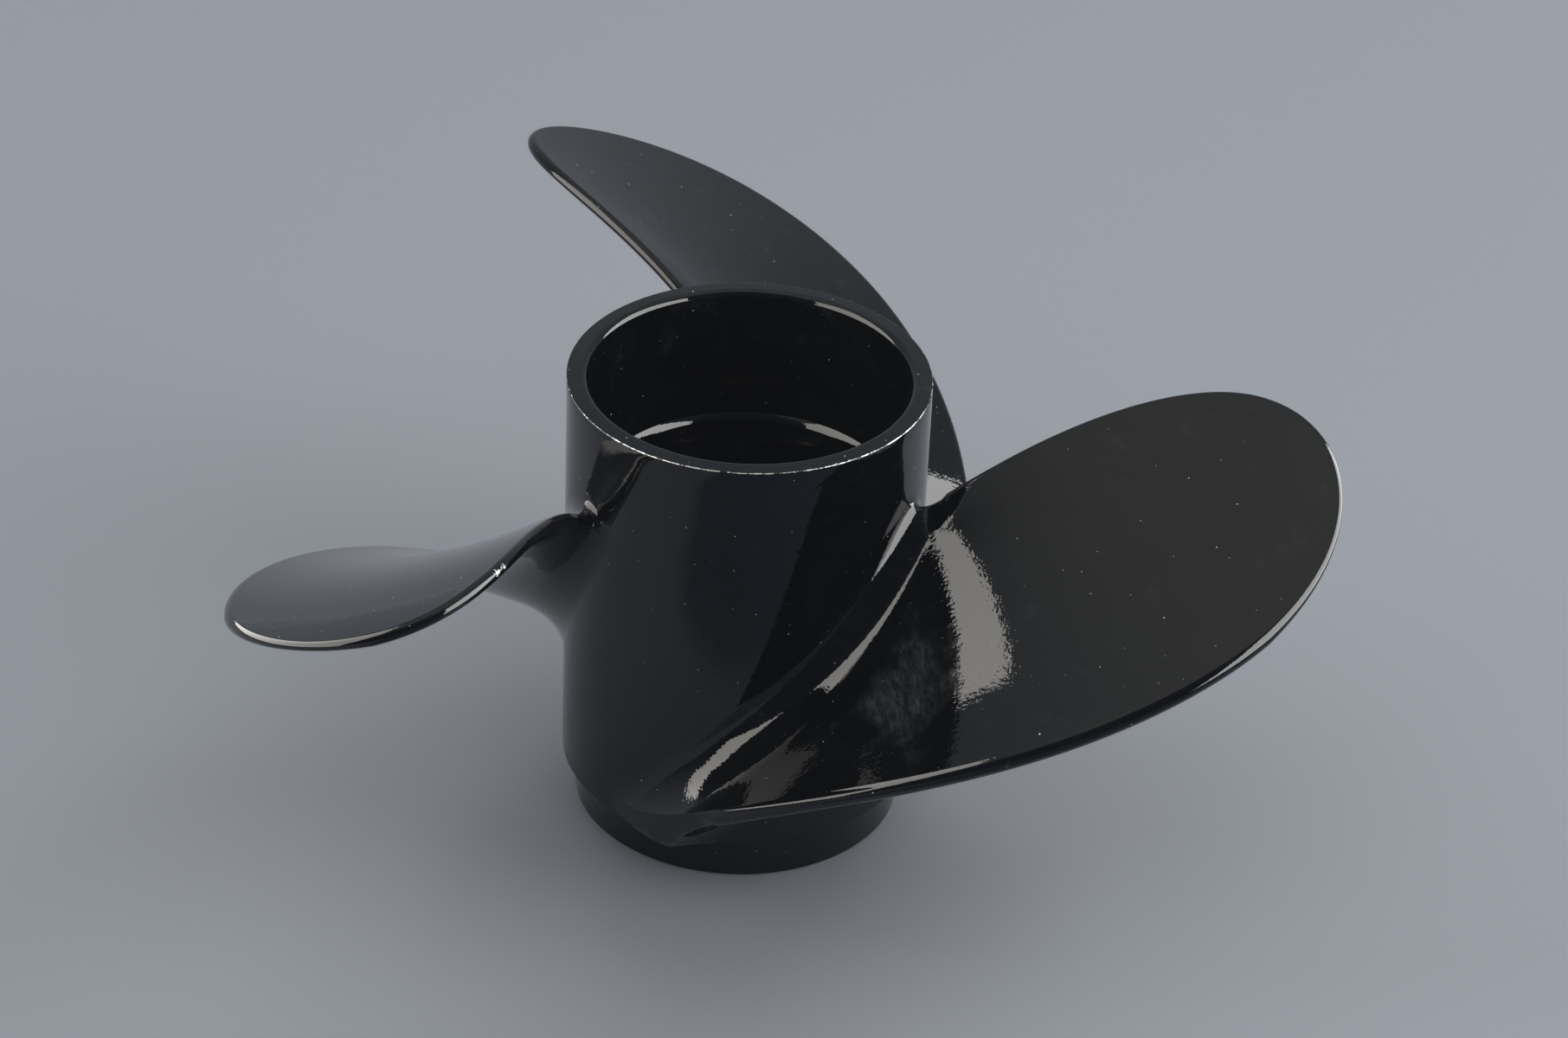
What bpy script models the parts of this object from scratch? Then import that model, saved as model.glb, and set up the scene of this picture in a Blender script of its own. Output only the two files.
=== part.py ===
"""Propeller of an outboard boat motor, standing on its front end with the aft end up.

One aluminium casting carries the barrel, three blades, an inner hub and three ribs. A rubber bush
is pressed into the inner hub, and a splined sleeve for the propeller shaft is held in the bush.
The shaft's axis is Z, and the casting's front end lies in the plane Z = 0.
"""

import math

import bmesh
import bpy
import numpy as np

# Barrel
HUB_RADIUS = 0.04445
HUB_LENGTH = 0.1210
BORE_RADIUS = 0.0393
THROAT_RADIUS = 0.036
LEDGE_HEIGHT = 0.0868
LEDGE_ROUNDING = 0.0012
RIM_ROUNDING = 0.0017
SPIGOT_RADIUS = 0.0410
SPIGOT_LENGTH = 0.0123

# Blades: the outline's control points, as radius and arc length from the blade's zero line, from the
# trailing root to the leading root, then the pressure face as a height over radius and angle.
BLADES = 3
OUTLINE = (
    (0.04445, -0.0195),
    (0.0560, -0.0195),
    (0.1345, 0.0195),
    (0.1550, -0.0500),
    (0.1230, -0.0985),
    (0.0825, -0.1100),
    (0.0485, -0.1045),
    (0.0430, -0.0990),
)
FACE_HEIGHT = 0.1206
FACE_RISE = 0.0590
FACE_RISE_CHANGE = 0.0038
FACE_RAKE = 0.090
FACE_RAKE_CHANGE = -1.2
TRAILING_EDGE = 0.0031
LEADING_EDGE = 0.0046
TIP_THINNING = 0.0014
ROOT_THICKNESS = 0.0085
FULLNESS = 0.75
FILLET = 0.0085
TRAILING_FILLET = 0.0045
LEADING_FILLET = 0.0040

# Inner hub, its ribs, the bush and the sleeve
INNER_HUB_RADIUS = 0.0245
INNER_HUB_BORE = 0.0200
INNER_HUB_Z = (0.0100, 0.0720)
RIB_THICKNESS = 0.0065
RIB_Z = (0.0120, 0.0660)
RIB_START = math.radians(55)
PRESS_GAP = 0.0003
BUSH_Z = (0.0130, 0.0690)
SLEEVE_RADIUS = 0.0130
SLEEVE_Z = (0.0070, 0.0790)
SPLINES = 13
SPLINE_ROOT_RADIUS = 0.0096
SPLINE_TOP_RADIUS = 0.0084
SPLINE_LEAN = 0.18
CHAMFER = 0.0008

# How finely the shapes are divided, and where a blade's rows and columns lie closer together
BARREL_SIDES = 72
SMALL_SIDES = 52
RIM_STEPS = 3
LEDGE_STEPS = 2
OUTLINE_STEPS = 400
BLADE_COLUMNS = 14
BLADE_ROWS = 12
FILLET_STEPS = (20, 45, 70, 90)
EDGE_CROWDING = 0.08
TIP_CROWDING = 1.15
TIP_START = 0.955
SHARP_ANGLE = math.radians(35)

# How far hidden shapes reach: a blade into the barrel's wall, and the cutter past the casting
SINK = 0.002
CUTTER_REACH = 0.010


def finish(color, metallic, roughness, name):
    """A plain Principled BSDF material."""
    material = bpy.data.materials.new(name)
    material.use_nodes = True
    shader = material.node_tree.nodes["Principled BSDF"]
    shader.inputs["Base Color"].default_value = (*color, 1.0)
    shader.inputs["Metallic"].default_value = metallic
    shader.inputs["Roughness"].default_value = roughness
    return material


def add_object(name, vertices, faces, material=None):
    """A mesh object with its faces turned outwards, smooth where they meet at a shallow angle."""
    mesh = bpy.data.meshes.new(name)
    mesh.from_pydata([tuple(v) for v in vertices], [], faces)
    shape = bmesh.new()
    shape.from_mesh(mesh)
    bmesh.ops.recalc_face_normals(shape, faces=shape.faces)
    shape.to_mesh(mesh)
    shape.free()
    mesh.shade_smooth()
    mesh.set_sharp_from_angle(angle=SHARP_ANGLE)
    if material is not None:
        mesh.materials.append(material)
    piece = bpy.data.objects.new(name, mesh)
    bpy.context.scene.collection.objects.link(piece)
    return piece


def round_edge(radius, height, size, steps):
    """A quarter circle about (radius, height) in a turned profile, from its top to its inner side."""
    angles = np.linspace(math.pi / 2, math.pi, steps + 1)
    return [(radius + size * math.cos(a), height + size * math.sin(a)) for a in angles]


def turned(name, profile, sides, material=None):
    """A ring turned about Z from a closed profile of (radius, height) points."""
    turns = [math.tau * i / sides for i in range(sides)]
    vertices = [(r * math.cos(t), r * math.sin(t), z) for t in turns for r, z in profile]
    return add_object(name, vertices, ring_faces(sides, len(profile)), material)


def ring_faces(sides, count):
    """Faces between neighbouring copies of a closed profile with count points."""
    faces = []
    for i in range(sides):
        here = i * count
        there = ((i + 1) % sides) * count
        for k in range(count):
            n = (k + 1) % count
            faces.append((here + k, there + k, there + n, here + n))
    return faces


def combine(piece, tool, operation):
    """A Boolean modifier whose operand is kept as a hidden guide."""
    step = piece.modifiers.new(tool.name, "BOOLEAN")
    step.operation = operation
    step.solver = "EXACT"
    step.object = tool
    tool.hide_render = True
    tool.display_type = "WIRE"


def barrel(material):
    """The exhaust barrel: a straight outside, and a bore that narrows at a ledge."""
    rim = round_edge(BORE_RADIUS + RIM_ROUNDING, HUB_LENGTH - RIM_ROUNDING, RIM_ROUNDING, RIM_STEPS)
    ledge = round_edge(
        THROAT_RADIUS + LEDGE_ROUNDING, LEDGE_HEIGHT - LEDGE_ROUNDING, LEDGE_ROUNDING, LEDGE_STEPS
    )
    profile = [(HUB_RADIUS, 0.0), (HUB_RADIUS, HUB_LENGTH), *rim, (BORE_RADIUS, LEDGE_HEIGHT)]
    profile += [*ledge, (THROAT_RADIUS, 0.0)]
    return turned("propeller_casting", profile, BARREL_SIDES, material)


def spigot_cutter():
    """A ring that turns the front end down to the spigot and cuts the leading roots level."""
    outer = HUB_RADIUS + CUTTER_REACH
    low = -CUTTER_REACH
    profile = [(SPIGOT_RADIUS, low), (outer, low), (outer, SPIGOT_LENGTH), (SPIGOT_RADIUS, SPIGOT_LENGTH)]
    return turned("spigot_cutter", profile, BARREL_SIDES)


def inner_hub():
    """The tube that holds the bush."""
    low, high = INNER_HUB_Z
    profile = [(INNER_HUB_BORE, low), (INNER_HUB_RADIUS, low), (INNER_HUB_RADIUS, high), (INNER_HUB_BORE, high)]
    return turned("inner_hub", profile, SMALL_SIDES)


def rib(index):
    """A plate from inside the inner hub's wall to inside the barrel's wall."""
    turn = RIB_START + math.tau * index / BLADES
    inner = (INNER_HUB_BORE + INNER_HUB_RADIUS) / 2
    outer = (THROAT_RADIUS + HUB_RADIUS) / 2
    half = RIB_THICKNESS / 2
    corners = [(inner, -half), (outer, -half), (outer, half), (inner, half)]
    plan = [(x * math.cos(turn) - y * math.sin(turn), x * math.sin(turn) + y * math.cos(turn)) for x, y in corners]
    vertices = [(x, y, z) for z in RIB_Z for x, y in plan]
    sides = [(i, (i + 1) % 4, 4 + (i + 1) % 4, 4 + i) for i in range(4)]
    return add_object(f"rib_{index + 1}", vertices, [(3, 2, 1, 0), (4, 5, 6, 7), *sides])


def outline_point(t):
    """Radius and arc length on the clamped cubic B-spline of the outline's control points."""
    points = np.array(OUTLINE)
    spans = len(points) - 3
    knots = np.concatenate([[0, 0, 0], np.linspace(0, 1, spans + 1), [1, 1, 1]])
    span = min(int(t * spans), spans - 1) + 3
    level = [points[span - 3 + i] for i in range(4)]
    for depth in range(1, 4):
        for i in range(3, depth - 1, -1):
            low = knots[span - 3 + i]
            high = knots[span + 1 + i - depth]
            share = (t - low) / (high - low)
            level[i] = (1 - share) * level[i - 1] + share * level[i]
    return level[3]


def face_point(radius, arc_length):
    """A point of the pressure face and its unit normal."""
    angle = arc_length / radius
    out = radius - HUB_RADIUS
    height = FACE_HEIGHT + FACE_RISE * angle + FACE_RISE_CHANGE * angle ** 2
    height += FACE_RAKE * out + FACE_RAKE_CHANGE * out ** 2 / 2
    rise = FACE_RISE + 2 * FACE_RISE_CHANGE * angle
    point = np.array([radius * math.cos(angle), radius * math.sin(angle), height])
    outwards = np.array([math.cos(angle), math.sin(angle), FACE_RAKE + FACE_RAKE_CHANGE * out])
    around = np.array([-radius * math.sin(angle), radius * math.cos(angle), rise])
    normal = np.cross(outwards, around)
    return point, normal / np.linalg.norm(normal)


def edge_thickness(share, outward=0.0):
    """Thickness at the edges, from trailing (share 0) to leading (share 1), thinner round the tip."""
    thinning = TIP_THINNING * outward ** 2 * 4 * share * (1 - share)
    return TRAILING_EDGE + (LEADING_EDGE - TRAILING_EDGE) * share - thinning


def face_border():
    """Where the pressure face ends and its round edge starts, as (radius, arc length) points."""
    shares = np.linspace(0, 1, OUTLINE_STEPS + 1)
    line = np.array([outline_point(t) for t in shares])
    points, normals = (np.array(part) for part in zip(*(face_point(r, a) for r, a in line)))
    outwards = np.cross(normals, np.gradient(points, axis=0))
    outwards /= np.linalg.norm(outwards, axis=1)[:, None]
    towards_tip = np.minimum(1, 2 - abs(4 * shares - 2))
    points -= outwards * (edge_thickness(shares, towards_tip) / 2)[:, None]
    radii = np.hypot(points[:, 0], points[:, 1])
    return np.stack([radii, radii * np.unwrap(np.arctan2(points[:, 1], points[:, 0]))], axis=1)


def fillet_flare(radius, size):
    """How far a root fillet stands off a wall that meets the barrel square."""
    rest = HUB_RADIUS + size - radius
    if rest <= 0:
        return 0.0
    if radius <= HUB_RADIUS:
        return size + (HUB_RADIUS - radius)
    return size - math.sqrt(size * size - rest * rest)


def column_shares():
    """Chord fractions from the trailing to the leading edge, closer together at the edges."""
    span = 1 - 2 * EDGE_CROWDING
    shares = [-math.cos(math.pi * (EDGE_CROWDING + span * i / BLADE_COLUMNS)) for i in range(BLADE_COLUMNS + 1)]
    return [(s - shares[0]) / (shares[-1] - shares[0]) for s in shares]


def root_rows(border, tip):
    """Rows of constant radius through the root fillet, as (radius, arc length) points."""
    radii = [HUB_RADIUS - SINK]
    radii += [HUB_RADIUS + FILLET - FILLET * math.cos(math.radians(a)) for a in FILLET_STEPS]
    rows = []
    for radius in radii:
        reach = max(radius, HUB_RADIUS)
        trailing = np.interp(reach, border[:tip, 0], border[:tip, 1])
        leading = np.interp(reach, border[:tip:-1, 0], border[:tip:-1, 1])
        slope = math.hypot(reach, FACE_RISE) / reach
        trailing += fillet_flare(radius, TRAILING_FILLET) / slope
        leading -= fillet_flare(radius, LEADING_FILLET) / slope
        scale = radius / reach
        rows.append([(radius, scale * (trailing + (leading - trailing) * s)) for s in column_shares()])
    return rows


def outer_rows(border, tip):
    """Rows of a Coons patch between the last root row, the two edges and the round tip."""

    def crossing(radius):
        """The places where the border passes a radius, on its way out and on its way back."""
        beyond = np.nonzero(border[:, 0] > radius)[0]
        return beyond[0], beyond[-1]

    trailing_start, leading_end = crossing(HUB_RADIUS + FILLET)
    trailing_end, leading_start = crossing(border[tip, 0] * TIP_START)
    trailing_side = border[trailing_start:trailing_end + 1]
    leading_side = border[leading_start:leading_end + 1][::-1]
    round_tip = border[trailing_end:leading_start + 1]
    root = np.array([trailing_side[0], leading_side[0]])

    def along(curve, share):
        steps = np.concatenate([[0], np.cumsum(np.linalg.norm(np.diff(curve, axis=0), axis=1))])
        return np.array([np.interp(share * steps[-1], steps, curve[:, k]) for k in (0, 1)])

    rows = []
    for j in range(1, BLADE_ROWS + 1):
        v = 1 - (1 - j / BLADE_ROWS) ** TIP_CROWDING
        left = along(trailing_side, v)
        right = along(leading_side, v)
        row = []
        for u in column_shares():
            ruled = (1 - u) * left + u * right + (1 - v) * along(root, u) + v * along(round_tip, u)
            corners = (1 - v) * ((1 - u) * root[0] + u * root[1])
            corners = corners + v * ((1 - u) * round_tip[0] + u * round_tip[-1])
            row.append(tuple(ruled - corners))
        rows.append(row)
    return rows


def blade(index):
    """One blade: a helical pressure face, a cambered suction face, round edges and a root fillet."""
    border = face_border()
    tip = int(border[:, 0].argmax())
    rows = root_rows(border, tip) + outer_rows(border, tip)
    last = len(rows) - 1
    columns = BLADE_COLUMNS
    root_count = len(FILLET_STEPS)
    vertices = []
    pressure = {}
    suction = {}
    for j, row in enumerate(rows):
        outward = max(0.0, (j - root_count) / (last - root_count))
        for i, (radius, arc_length) in enumerate(row):
            share = i / columns
            point, normal = face_point(radius, arc_length)
            edge = edge_thickness(share, outward)
            middle = ROOT_THICKNESS * (1 - outward) + edge * outward
            thick = edge + (middle - edge) * (4 * share * (1 - share)) ** FULLNESS
            flare = fillet_flare(radius, FILLET)
            pressure[j, i] = len(vertices)
            vertices.append(point + normal * flare)
            suction[j, i] = len(vertices)
            vertices.append(point - normal * (thick + flare))

    rim = [(j, 0) for j in range(last)] + [(last, i) for i in range(columns)]
    rim += [(j, columns) for j in range(last, -1, -1)]
    upper = np.array([vertices[pressure[c]] for c in rim])
    lower = np.array([vertices[suction[c]] for c in rim])
    away = np.cross(upper - lower, np.gradient((upper + lower) / 2, axis=0))
    away /= np.linalg.norm(away, axis=1)[:, None]
    nose = {}
    for k, (j, i) in enumerate(rim):
        outward = max(0.0, (j - root_count) / (last - root_count))
        nose[j, i] = len(vertices)
        vertices.append((upper[k] + lower[k]) / 2 + away[k] * edge_thickness(i / columns, outward) / 2)

    faces = []
    for j in range(last):
        for i in range(columns):
            corners = [(j, i), (j, i + 1), (j + 1, i + 1), (j + 1, i)]
            faces.append([pressure[c] for c in corners])
            faces.append([suction[c] for c in reversed(corners)])
    for a, b in zip(rim, rim[1:]):
        faces.append([pressure[a], nose[a], nose[b], pressure[b]])
        faces.append([nose[a], suction[a], suction[b], nose[b]])
    for i in range(columns):
        faces.append([pressure[0, i], suction[0, i], suction[0, i + 1], pressure[0, i + 1]])
    for i in (0, columns):
        faces.append([pressure[0, i], suction[0, i], nose[0, i]])

    piece = add_object(f"blade_{index + 1}", vertices, faces)
    piece.rotation_euler.z = math.tau * index / BLADES
    return piece


def casting(material):
    """Barrel, blades, inner hub and ribs as one solid, with the spigot turned last."""
    piece = barrel(material)
    for index in range(BLADES):
        combine(piece, blade(index), "UNION")
    combine(piece, inner_hub(), "UNION")
    for index in range(BLADES):
        combine(piece, rib(index), "UNION")
    combine(piece, spigot_cutter(), "DIFFERENCE")
    piece.modifiers["spigot_cutter"].use_self = True


def bush(material):
    """The rubber bush between the inner hub and the sleeve."""
    low, high = BUSH_Z
    inner = SLEEVE_RADIUS + PRESS_GAP
    outer = INNER_HUB_BORE - PRESS_GAP
    profile = [(inner, low), (outer - CHAMFER, low), (outer, low + CHAMFER), (outer, high - CHAMFER)]
    profile += [(outer - CHAMFER, high), (inner, high)]
    turned("rubber_bush", profile, SMALL_SIDES, material)


def sleeve(material):
    """The sleeve on the shaft: round outside, straight splines inside."""
    low, high = SLEEVE_Z
    outside = [(SLEEVE_RADIUS - CHAMFER, low), (SLEEVE_RADIUS, low + CHAMFER)]
    outside += [(SLEEVE_RADIUS, high - CHAMFER), (SLEEVE_RADIUS - CHAMFER, high)]
    vertices = []
    sides = SPLINES * 4
    lean = SPLINE_LEAN * math.tau / sides
    for i in range(sides):
        turn = math.tau * (i + 0.5) / sides
        on_top = i % 4 in (0, 1)
        inside = SPLINE_TOP_RADIUS if on_top else SPLINE_ROOT_RADIUS
        shift = -lean if i % 4 in (0, 2) else lean
        for radius, height in outside:
            vertices.append((radius * math.cos(turn), radius * math.sin(turn), height))
        for height in (high, low):
            vertices.append((inside * math.cos(turn + shift), inside * math.sin(turn + shift), height))
    add_object("splined_sleeve", vertices, ring_faces(sides, len(outside) + 2), material)


for old in list(bpy.data.objects):
    bpy.data.objects.remove(old, do_unlink=True)

casting(finish((0.012, 0.012, 0.014), 0.0, 0.12, "black_paint"))
bush(finish((0.03, 0.03, 0.03), 0.0, 0.7, "rubber"))
sleeve(finish((0.62, 0.47, 0.23), 1.0, 0.35, "brass"))
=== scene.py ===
"""A gloss black outboard propeller on a pale studio floor, standing on its front end."""

import math
import bmesh
import bpy
import numpy as np
from mathutils import Matrix, Vector


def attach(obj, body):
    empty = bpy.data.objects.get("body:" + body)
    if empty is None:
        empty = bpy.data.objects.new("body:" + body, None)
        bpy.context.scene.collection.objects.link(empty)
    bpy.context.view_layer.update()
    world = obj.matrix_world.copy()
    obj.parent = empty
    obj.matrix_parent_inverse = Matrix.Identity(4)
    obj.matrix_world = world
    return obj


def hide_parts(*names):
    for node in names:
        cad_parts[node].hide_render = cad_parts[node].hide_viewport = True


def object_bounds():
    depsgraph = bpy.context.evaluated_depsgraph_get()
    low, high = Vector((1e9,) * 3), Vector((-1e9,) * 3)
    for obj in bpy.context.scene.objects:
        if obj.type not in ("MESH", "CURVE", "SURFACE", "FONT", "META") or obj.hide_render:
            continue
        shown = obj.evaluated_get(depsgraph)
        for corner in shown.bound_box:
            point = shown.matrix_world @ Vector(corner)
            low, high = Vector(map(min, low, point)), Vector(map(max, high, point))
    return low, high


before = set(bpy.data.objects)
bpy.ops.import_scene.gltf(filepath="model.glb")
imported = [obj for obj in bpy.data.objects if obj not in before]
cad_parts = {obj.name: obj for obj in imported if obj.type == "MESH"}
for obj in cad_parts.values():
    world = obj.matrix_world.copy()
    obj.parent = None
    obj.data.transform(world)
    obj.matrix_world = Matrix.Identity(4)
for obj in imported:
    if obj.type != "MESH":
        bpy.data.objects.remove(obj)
cad_low, cad_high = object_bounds()


# Camera
# A long lens well above the propeller, looking down on it and turned slightly about its own axis.

FOCAL_LENGTH = 113.6
SENSOR_WIDTH = 36.0
CAMERA_DISTANCE = 1.2218
CAMERA_ELEVATION = math.radians(33.016)
CAMERA_ROLL = math.radians(2.315)
AIM = Vector((0.00966, 0.0, 0.07957))
NEAREST_SEEN = 0.05

lens = bpy.data.cameras.new("camera")
lens.lens = FOCAL_LENGTH
lens.sensor_width = SENSOR_WIDTH
lens.clip_start = NEAREST_SEEN
camera = bpy.data.objects.new("camera", lens)
bpy.context.scene.collection.objects.link(camera)
backwards = Vector((0, -math.cos(CAMERA_ELEVATION), math.sin(CAMERA_ELEVATION)))
camera.matrix_world = (
    Matrix.Translation(AIM + backwards * CAMERA_DISTANCE)
    @ Matrix.Rotation(math.pi / 2 - CAMERA_ELEVATION, 4, "X")
    @ Matrix.Rotation(CAMERA_ROLL, 4, "Z")
)
bpy.context.scene.camera = camera


# Propeller casting
# Barrel, three swept blades, inner hub and ribs, cast in one piece of aluminium and sprayed with
# gloss black paint. The spigot and its shoulder at the front end are turned after casting.

# The barrel's radii, and its lengths from the front end up
HUB_RADIUS = 0.04445
HUB_LENGTH = 0.1210
BORE_RADIUS = 0.0393
THROAT_RADIUS = 0.036
SPIGOT_RADIUS = 0.0410
SPIGOT_LENGTH = 0.0123

# The aft rim, which falls a little towards its outer edge, and the crowned ledge under a steep cone
RIM_FALL = 0.00022
RIM_EDGE = 0.00028
RIM_ROUNDING = 0.0017
RIM_SUPPORTS = (0.06, 0.94)
LEDGE_HEIGHT = 0.0870
LEDGE_CONE = 0.0085
LEDGE_CROWN = 0.0062
LEDGE_BEVEL = (128, 146)

# Broken edges of the front end
SHOULDER_EDGE = 0.0004
SPIGOT_CORNER = 0.0003
FRONT_EDGE = 0.0006

# A blade's outline, as (radius, arc length), from the trailing edge's root round the tip
BLADES = 3
OUTLINE = (
    (0.04445, -0.0195),
    (0.0560, -0.0195),
    (0.1345, 0.0195),
    (0.1550, -0.0500),
    (0.1230, -0.0985),
    (0.0825, -0.1100),
    (0.0485, -0.1045),
    (0.0430, -0.0990),
)

# Its pressure face: the height, the rise for each radian and the rake, and how the last two change
FACE_HEIGHT = 0.1206
FACE_RISE = 0.0590
FACE_RISE_CHANGE = 0.0038
FACE_RAKE = 0.090
FACE_RAKE_CHANGE = -1.2

# Its thickness, and how full it is between its edges
TRAILING_EDGE = 0.0031
LEADING_EDGE = 0.0046
TIP_THINNING = 0.0014
ROOT_THICKNESS = 0.0085
FULLNESS = 0.75
TIP_START = 0.955

# Root fillets, which grow from the trailing edge to the leading edge, and a low swelling above them
FILLET_SHARES = (0.0, 0.33, 0.75, 1.0)
FILLET_SIZES = (0.0065, 0.0085, 0.0100, 0.0120)
FILLET_REACHES = (0.0065, 0.0085, 0.0125, 0.0160)
TRAILING_FILLET = 0.0058
LEADING_FILLET = 0.0070
ROOT_LIFT = 0.0015
ROOT_LIFT_REACH = 0.062
ROOT_LIFT_SHARES = (0.08, 0.35)

# The inner hub, and its three ribs with round ends and fillets
INNER_HUB_RADIUS = 0.0245
INNER_HUB_BORE = 0.0200
INNER_HUB_Z = (0.0100, 0.0720)
INNER_HUB_EDGE = 0.0012
INNER_HUB_BORE_EDGE = 0.0008
RIB_HALF = 0.00325
RIB_Z = (0.0145, 0.0660)
RIB_FILLET = 0.0025
RIB_TURN = math.radians(55)

# The barrel's wall round a blade's root leans with the blade and starts below the cut at the shoulder
WALL_BOTTOM = -0.012
WALL_TOP_TURN = math.radians(1)
WALL_LEAN = math.radians(147)

# How finely the surfaces are divided
OUTLINE_STEPS = 1200
BLADE_COLUMNS = 96
BLADE_ROWS = 62
FILLET_ROWS = 12
NOSE_STEPS = 12
RIB_STEPS = 88
FOOT_STEPS = 5
EDGE_CROWDING = 0.06
TIP_CROWDING = 1.15
WALL_CROWDING = 1.6
TURN_STEPS = 180
WALL_RINGS = 14
INSIDE_RINGS = 8
MERGE = 2e-6
SHARP_ANGLE = math.radians(30)


def edit(pieces):
    """Joins the pieces into the first one and opens it in edit mode with all of it selected."""
    bpy.ops.object.select_all(action="DESELECT")
    for piece in pieces:
        piece.select_set(True)
    bpy.context.view_layer.objects.active = pieces[0]
    if len(pieces) > 1:
        bpy.ops.object.join()
    bpy.ops.object.mode_set(mode="EDIT")
    bpy.ops.mesh.select_all(action="SELECT")


def sheet(points, closed=False):
    """A surface of four-sided faces through rows of points."""
    rows, columns = points.shape[:2]
    index = np.arange(rows * columns).reshape(rows, columns)
    right = np.roll(index, -1, axis=1) if closed else index[:, 1:]
    left = index if closed else index[:, :-1]
    faces = np.stack([left[:-1], right[:-1], right[1:], left[1:]], axis=-1).reshape(-1, 4)
    mesh = bpy.data.meshes.new("sheet")
    mesh.from_pydata(points.reshape(-1, 3), [], faces.tolist())
    piece = bpy.data.objects.new("sheet", mesh)
    bpy.context.scene.collection.objects.link(piece)
    return piece


def on_cylinder(radius, turn, height):
    return np.stack([radius * np.cos(turn), radius * np.sin(turn), height], axis=-1)


def turned(profile):
    """A line of (radius, height) points spun about Z."""
    points = [(r * math.cos(RIB_TURN), r * math.sin(RIB_TURN), z) for r, z in profile]
    mesh = bpy.data.meshes.new("turned")
    mesh.from_pydata(points, [(i, i + 1) for i in range(len(points) - 1)], [])
    piece = bpy.data.objects.new("turned", mesh)
    bpy.context.scene.collection.objects.link(piece)
    edit([piece])
    bpy.ops.mesh.spin(steps=TURN_STEPS, angle=math.tau, center=(0, 0, 0), axis=(0, 0, 1))
    bpy.ops.mesh.select_all(action="SELECT")
    bpy.ops.mesh.remove_doubles(threshold=MERGE)
    bpy.ops.object.mode_set(mode="OBJECT")
    return piece


def corner(radius, height, size, start, end, steps=5):
    """Points of a round corner about (radius, height), between two angles in degrees."""
    angles = np.radians(np.linspace(start, end, steps + 1))
    return [(radius + size * math.cos(a), height + size * math.sin(a)) for a in angles]


def turned_copies(piece):
    """The piece and its copies turned about Z, one for each blade."""
    copies = [piece]
    for index in range(1, BLADES):
        copy = piece.copy()
        copy.data = piece.data.copy()
        copy.data.transform(Matrix.Rotation(math.tau * index / BLADES, 4, "Z"))
        bpy.context.scene.collection.objects.link(copy)
        copies.append(copy)
    return copies


def outline_points(steps):
    """Radius and arc length along the clamped cubic B-spline of the outline's control points."""
    points = np.array(OUTLINE)
    spans = len(points) - 3
    knots = np.concatenate([[0, 0, 0], np.linspace(0, 1, spans + 1), [1, 1, 1]])
    line = []
    for t in np.linspace(0, 1, steps + 1):
        span = min(int(t * spans), spans - 1) + 3
        level = [points[span - 3 + i] for i in range(4)]
        for depth in range(1, 4):
            for i in range(3, depth - 1, -1):
                low = knots[span - 3 + i]
                share = (t - low) / (knots[span + 1 + i - depth] - low)
                level[i] = (1 - share) * level[i - 1] + share * level[i]
        line.append(level[3])
    return np.array(line)


def face_points(places):
    """Points and unit normals of the pressure face at (radius, arc length) places."""
    radius, arc = places[..., 0], places[..., 1]
    angle = arc / radius
    out = radius - HUB_RADIUS
    height = FACE_HEIGHT + FACE_RISE * angle + FACE_RISE_CHANGE * angle ** 2
    height = height + FACE_RAKE * out + FACE_RAKE_CHANGE * out ** 2 / 2
    rise = FACE_RISE + 2 * FACE_RISE_CHANGE * angle
    slope = FACE_RAKE + FACE_RAKE_CHANGE * out
    outwards = np.stack([np.cos(angle), np.sin(angle), slope], axis=-1)
    around = np.stack([-radius * np.sin(angle), radius * np.cos(angle), rise], axis=-1)
    normals = np.cross(outwards, around)
    normals /= np.linalg.norm(normals, axis=-1)[..., None]
    return on_cylinder(radius, angle, height), normals


def edge_thickness(share, outward):
    """Thickness at the edges, from trailing (share 0) to leading (share 1), thinner round the tip."""
    thinning = TIP_THINNING * outward ** 2 * 4 * share * (1 - share)
    return TRAILING_EDGE + (LEADING_EDGE - TRAILING_EDGE) * share - thinning


def face_border():
    """Where the pressure face ends and its round edge starts, as (radius, arc length) points."""
    shares = np.linspace(0, 1, OUTLINE_STEPS + 1)
    points, normals = face_points(outline_points(OUTLINE_STEPS))
    outwards = np.cross(normals, np.gradient(points, axis=0))
    outwards /= np.linalg.norm(outwards, axis=1)[:, None]
    towards_tip = np.minimum(1, 2 - abs(4 * shares - 2))
    points -= outwards * (edge_thickness(shares, towards_tip) / 2)[:, None]
    radii = np.hypot(points[:, 0], points[:, 1])
    return np.stack([radii, radii * np.unwrap(np.arctan2(points[:, 1], points[:, 0]))], axis=1)


def along(curve, shares):
    """Points at given shares of a curve's length."""
    steps = np.concatenate([[0], np.cumsum(np.linalg.norm(np.diff(curve, axis=0), axis=1))])
    return np.stack([np.interp(shares * steps[-1], steps, curve[:, k]) for k in (0, 1)], axis=-1)


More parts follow.
